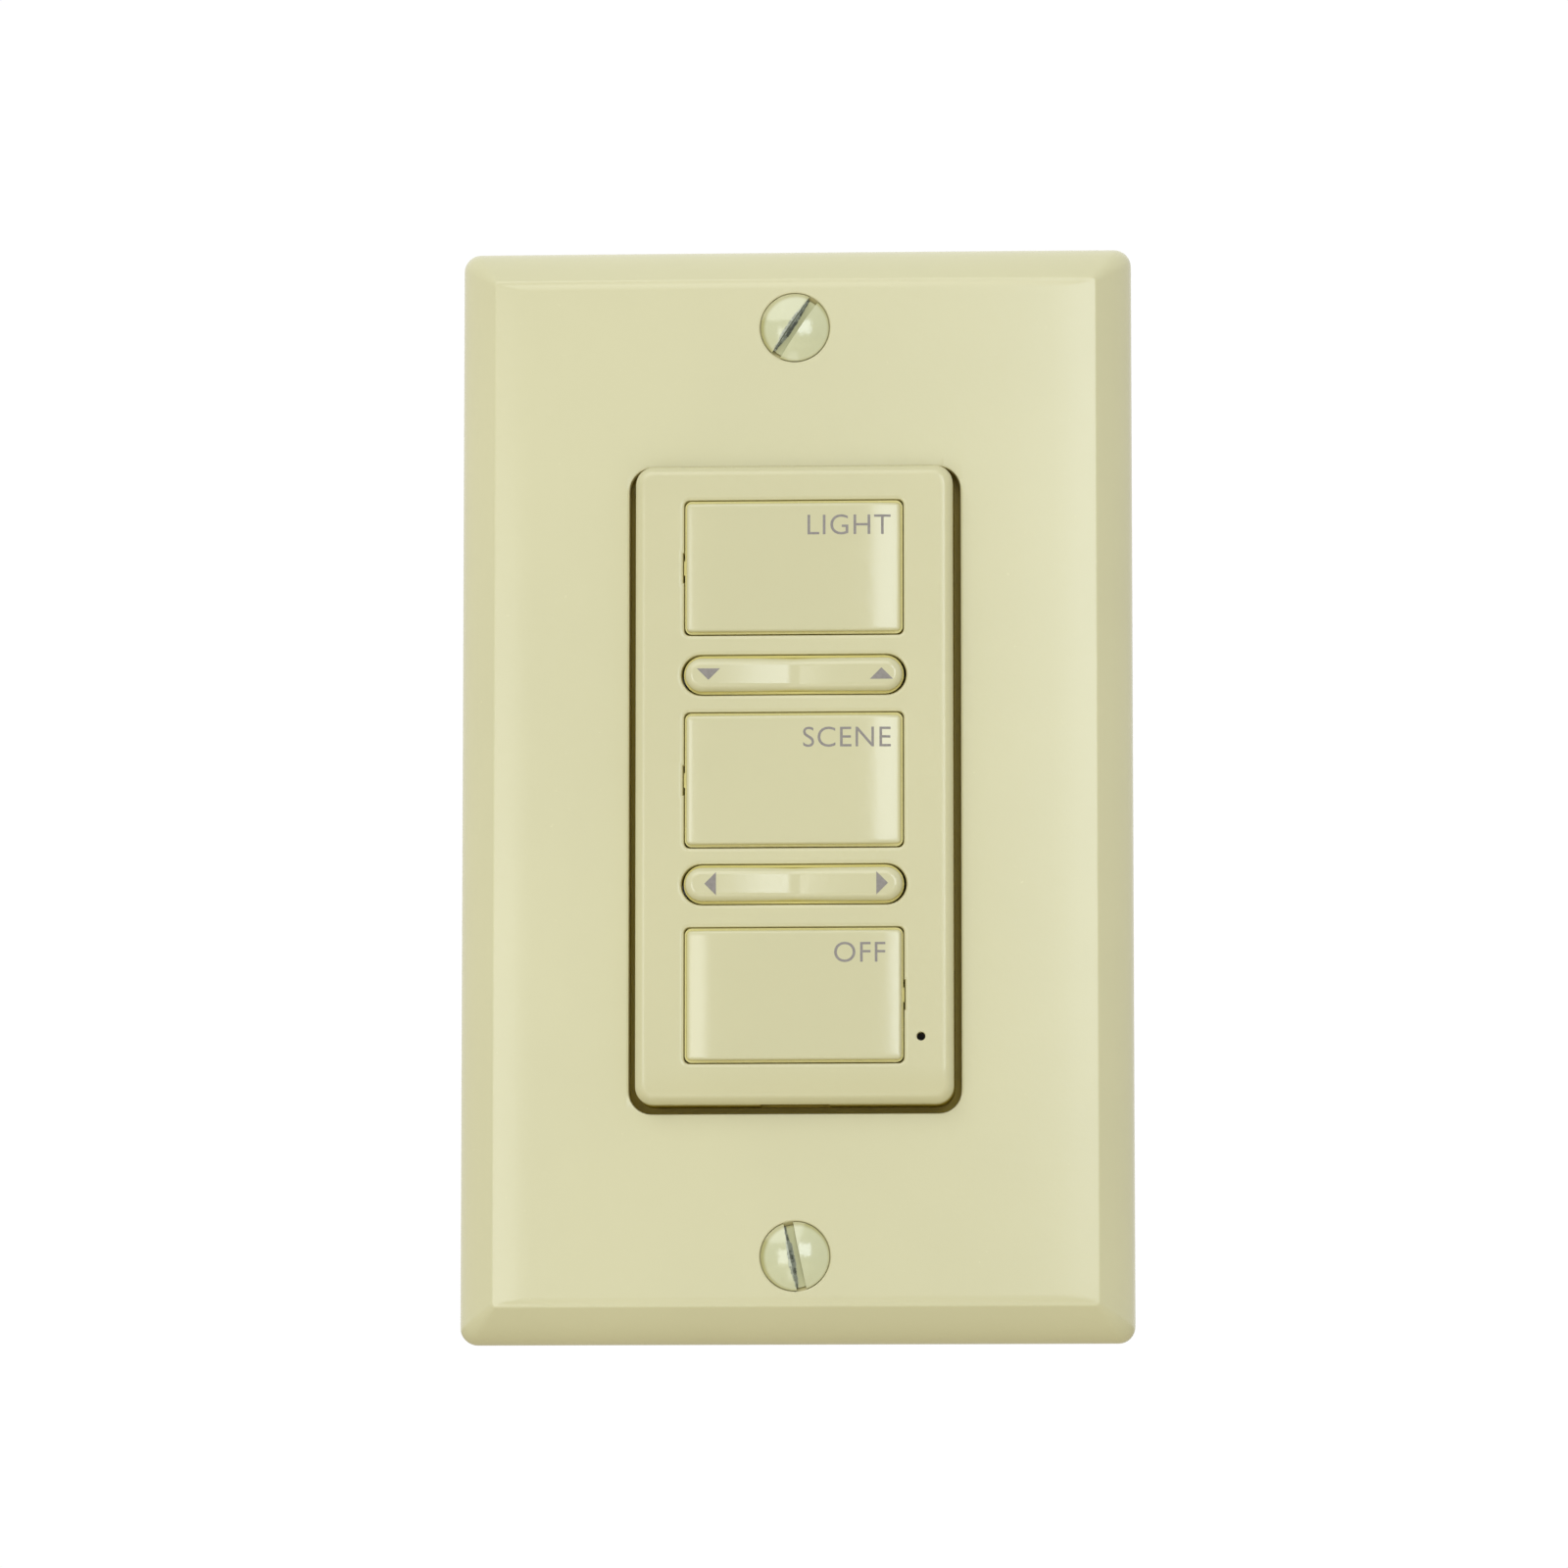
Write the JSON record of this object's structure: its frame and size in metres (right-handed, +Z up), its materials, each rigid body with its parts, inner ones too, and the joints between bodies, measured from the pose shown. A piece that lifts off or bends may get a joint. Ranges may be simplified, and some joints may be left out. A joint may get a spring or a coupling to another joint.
{
  "type": "wall dimmer keypad",
  "caption": "Single-gang wall dimmer keypad: bevelled wall plate around an insert with push buttons and slim rocker bars, on a steel strap with a rear housing.",
  "frame": {"origin": "on the wall's surface, behind the centre of the wall plate", "axes": "+X to the right and +Z up as a person faces the wall, +Y into the wall"},
  "size_m": [0.0698, 0.0365, 0.1142],
  "materials": {
    "ivory_plate": "semi-gloss moulded thermoset, light almond",
    "ivory_frame": "satin moulded plastic, light almond",
    "ivory_cap": "polished moulded plastic, light almond",
    "painted_screw": "almond paint worn to metal along the slot",
    "zinc_steel": "zinc plated",
    "fibre_washer": "vulcanised fibre",
    "switch_black": "moulded",
    "plunger_white": "moulded",
    "circuit_board": "green solder mask",
    "chip_black": "moulded epoxy",
    "capacitor_sleeve": "shrink sleeve",
    "copper_winding": "enamelled wire",
    "terminal_green": "moulded",
    "housing_grey": "fine moulded texture"
  },
  "bodies": {
    "housing": {"wall_plate": "ivory_plate", "plate_screw_upper": "painted_screw", "plate_screw_lower": "painted_screw", "mounting_strap": "zinc_steel", "box_screw_upper": "zinc_steel", "box_screw_lower": "zinc_steel", "screw_retainer_upper": "fibre_washer", "screw_retainer_lower": "fibre_washer", "face_frame": "ivory_frame", "dimming_rocker_pin": "zinc_steel", "scene_rocker_pin": "zinc_steel", "light_switch_body": "switch_black", "scene_switch_body": "switch_black", "off_switch_body": "switch_black", "dim_down_switch_body": "switch_black", "dim_up_switch_body": "switch_black", "scene_back_switch_body": "switch_black", "scene_next_switch_body": "switch_black", "reset_switch_body": "switch_black", "keypad_board": "circuit_board", "power_board": "circuit_board", "board_header": "switch_black", "microcontroller": "chip_black", "voltage_regulator": "chip_black", "filter_capacitor": "capacitor_sleeve", "choke_coil": "copper_winding", "terminal_block": "terminal_green", "terminal_screw_1": "zinc_steel", "terminal_screw_2": "zinc_steel", "terminal_screw_3": "zinc_steel", "terminal_screw_4": "zinc_steel", "rear_housing": "housing_grey", "housing_screw_1": "zinc_steel", "housing_screw_2": "zinc_steel", "housing_screw_3": "zinc_steel", "housing_screw_4": "zinc_steel"},
    "light_button": {"light_button": "ivory_cap"},
    "scene_button": {"scene_button": "ivory_cap"},
    "off_button": {"off_button": "ivory_cap"},
    "dimming_rocker": {"dimming_rocker": "ivory_cap"},
    "scene_rocker": {"scene_rocker": "ivory_cap"},
    "light_plunger": {"light_switch_plunger": "plunger_white"},
    "scene_plunger": {"scene_switch_plunger": "plunger_white"},
    "off_plunger": {"off_switch_plunger": "plunger_white"},
    "dim_down_plunger": {"dim_down_switch_plunger": "plunger_white"},
    "dim_up_plunger": {"dim_up_switch_plunger": "plunger_white"},
    "scene_back_plunger": {"scene_back_switch_plunger": "plunger_white"},
    "scene_next_plunger": {"scene_next_switch_plunger": "plunger_white"},
    "reset_plunger": {"reset_switch_plunger": "plunger_white"}
  },
  "joints": [
    {"name": "light_press", "type": "slide", "parent": "housing", "child": "light_button", "axis": [0, 1, 0], "range_m": [0, 0.0005], "stiffness_N_per_m": 800},
    {"name": "scene_press", "type": "slide", "parent": "housing", "child": "scene_button", "axis": [0, 1, 0], "range_m": [0, 0.0005], "stiffness_N_per_m": 800},
    {"name": "off_press", "type": "slide", "parent": "housing", "child": "off_button", "axis": [0, 1, 0], "range_m": [0, 0.0005], "stiffness_N_per_m": 800},
    {"name": "dimming_tilt", "type": "hinge", "parent": "housing", "child": "dimming_rocker", "pos_m": [0, -0.0052, 0.01165], "axis": [0, 0, 1], "range_deg": [-3, 3], "stiffness_Nm_per_rad": 0.06},
    {"name": "scene_tilt", "type": "hinge", "parent": "housing", "child": "scene_rocker", "pos_m": [0, -0.0052, -0.01015], "axis": [0, 0, 1], "range_deg": [-3, 3], "stiffness_Nm_per_rad": 0.06},
    {"name": "reset_press", "type": "slide", "parent": "housing", "child": "reset_plunger", "axis": [0, 1, 0], "range_m": [0, 0.00025], "stiffness_N_per_m": 800},
    {"name": "light_plunger_slide", "type": "slide", "parent": "housing", "child": "light_plunger", "axis": [0, 1, 0], "range_m": [0, 0.0005]},
    {"name": "scene_plunger_slide", "type": "slide", "parent": "housing", "child": "scene_plunger", "axis": [0, 1, 0], "range_m": [0, 0.0005]},
    {"name": "off_plunger_slide", "type": "slide", "parent": "housing", "child": "off_plunger", "axis": [0, 1, 0], "range_m": [0, 0.0005]},
    {"name": "dim_down_plunger_rock", "type": "hinge", "parent": "housing", "child": "dim_down_plunger", "pos_m": [0, -0.00065, 0.01165], "axis": [0, 0, 1], "range_deg": [-3, 3]},
    {"name": "dim_up_plunger_rock", "type": "hinge", "parent": "housing", "child": "dim_up_plunger", "pos_m": [0, -0.00065, 0.01165], "axis": [0, 0, 1], "range_deg": [-3, 3]},
    {"name": "scene_back_plunger_rock", "type": "hinge", "parent": "housing", "child": "scene_back_plunger", "pos_m": [0, -0.00065, -0.01015], "axis": [0, 0, 1], "range_deg": [-3, 3]},
    {"name": "scene_next_plunger_rock", "type": "hinge", "parent": "housing", "child": "scene_next_plunger", "pos_m": [0, -0.00065, -0.01015], "axis": [0, 0, 1], "range_deg": [-3, 3]}
  ],
  "couplings": [
    {"joint": "light_plunger_slide", "follows": "light_press", "ratio": 1},
    {"joint": "scene_plunger_slide", "follows": "scene_press", "ratio": 1},
    {"joint": "off_plunger_slide", "follows": "off_press", "ratio": 1},
    {"joint": "dim_down_plunger_rock", "follows": "dimming_tilt", "ratio": 1},
    {"joint": "dim_up_plunger_rock", "follows": "dimming_tilt", "ratio": 1},
    {"joint": "scene_back_plunger_rock", "follows": "scene_tilt", "ratio": 1},
    {"joint": "scene_next_plunger_rock", "follows": "scene_tilt", "ratio": 1}
  ]
}
